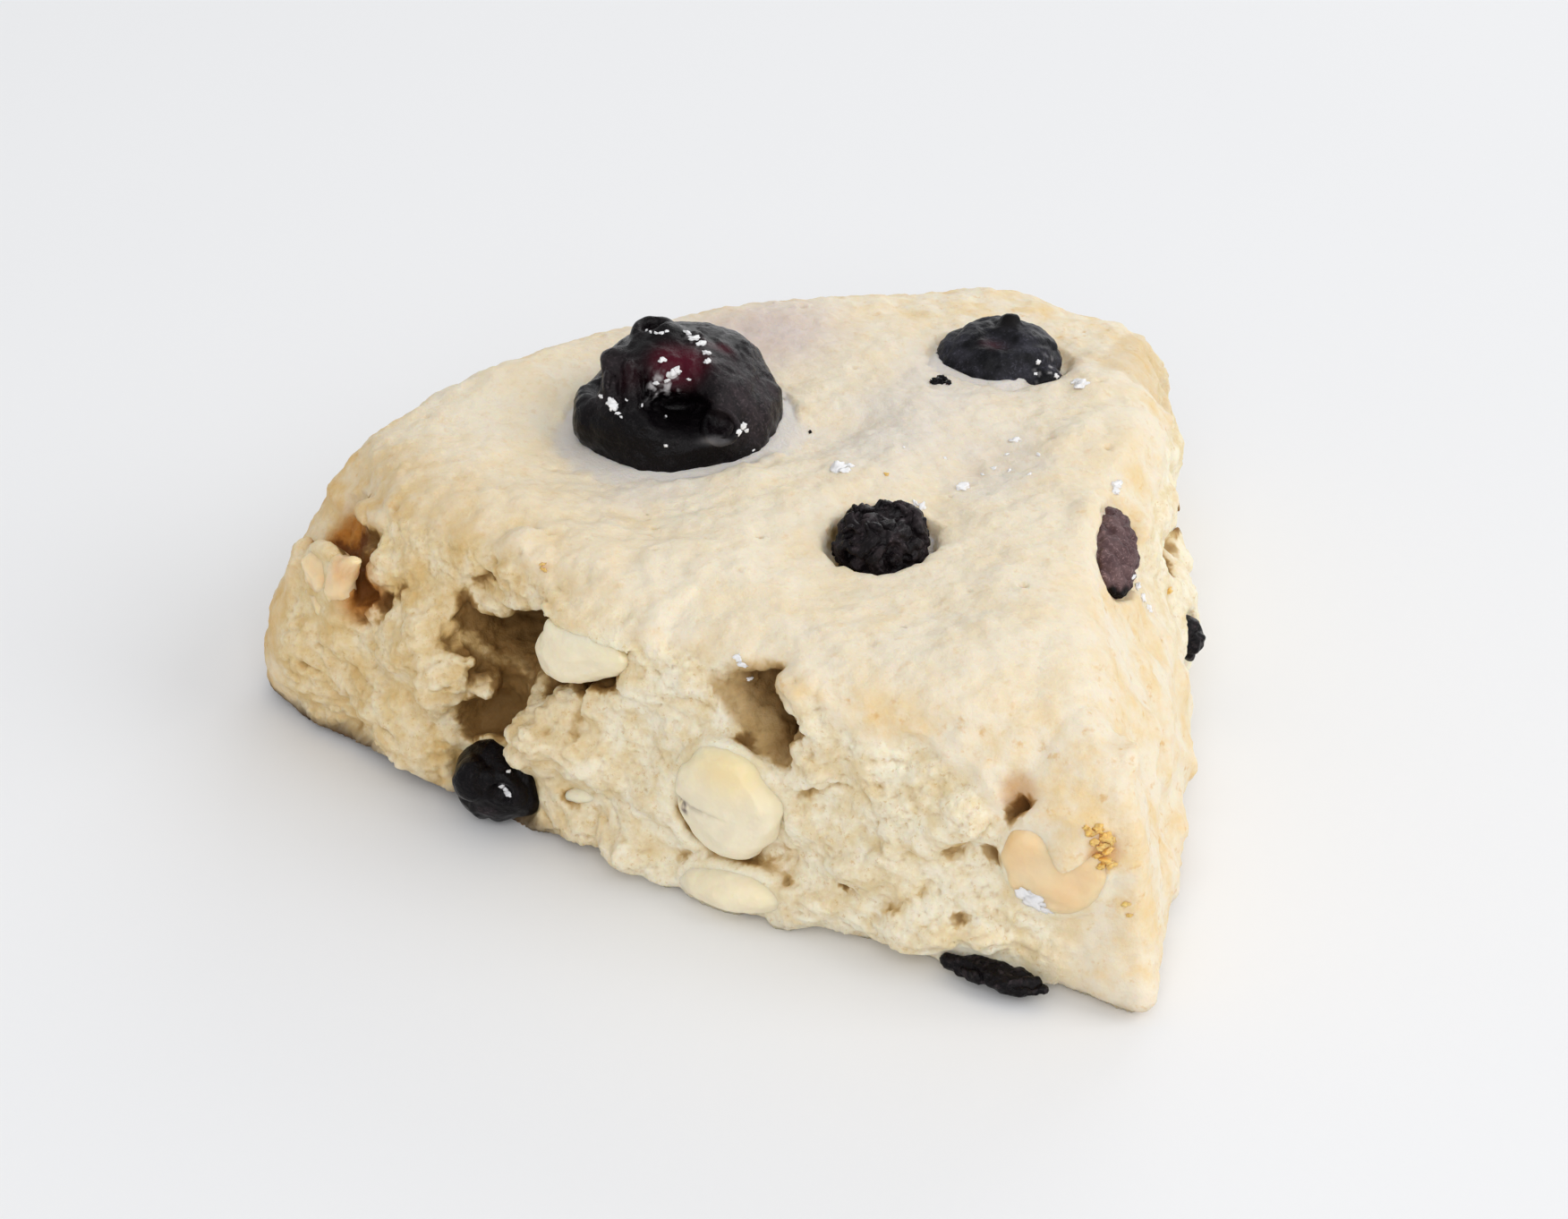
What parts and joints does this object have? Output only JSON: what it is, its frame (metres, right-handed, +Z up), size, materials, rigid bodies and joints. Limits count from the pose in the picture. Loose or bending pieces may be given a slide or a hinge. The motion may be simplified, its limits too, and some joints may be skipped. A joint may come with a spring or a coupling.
{
  "type": "berry scone",
  "caption": "Wedge-shaped baked scone with torn crumb sides, a domed pale crust, sunken dark berries and white chocolate chips.",
  "frame": {"origin": "on the table, under the middle of the scone's bounding box", "axes": "+Z up from the table; the wedge's tip points towards -Y and its baked rim faces +Y"},
  "size_m": [0.0926, 0.092, 0.034],
  "materials": {
    "crust": "matt baked dough",
    "berry": "glossy blue-black berry skin",
    "split_berry": "dull plum berry flesh",
    "chip": "satin ivory chocolate",
    "toasted_chip": "satin toasted chocolate"
  },
  "bodies": {
    "root": {"dough": "crust", "berry_burst": "berry", "berry_back": "berry", "berry_shrivelled": "berry", "berry_edge": "split_berry", "berry_foot": "berry", "berry_right": "berry", "berry_rim": "berry", "berry_skin": "berry", "berry_shard": "berry", "chip_face": "chip", "chip_lip": "chip", "chip_low": "chip", "chip_sliver": "chip", "chip_right": "chip", "chip_tip": "toasted_chip", "chip_corner": "toasted_chip"}
  },
  "joints": []
}
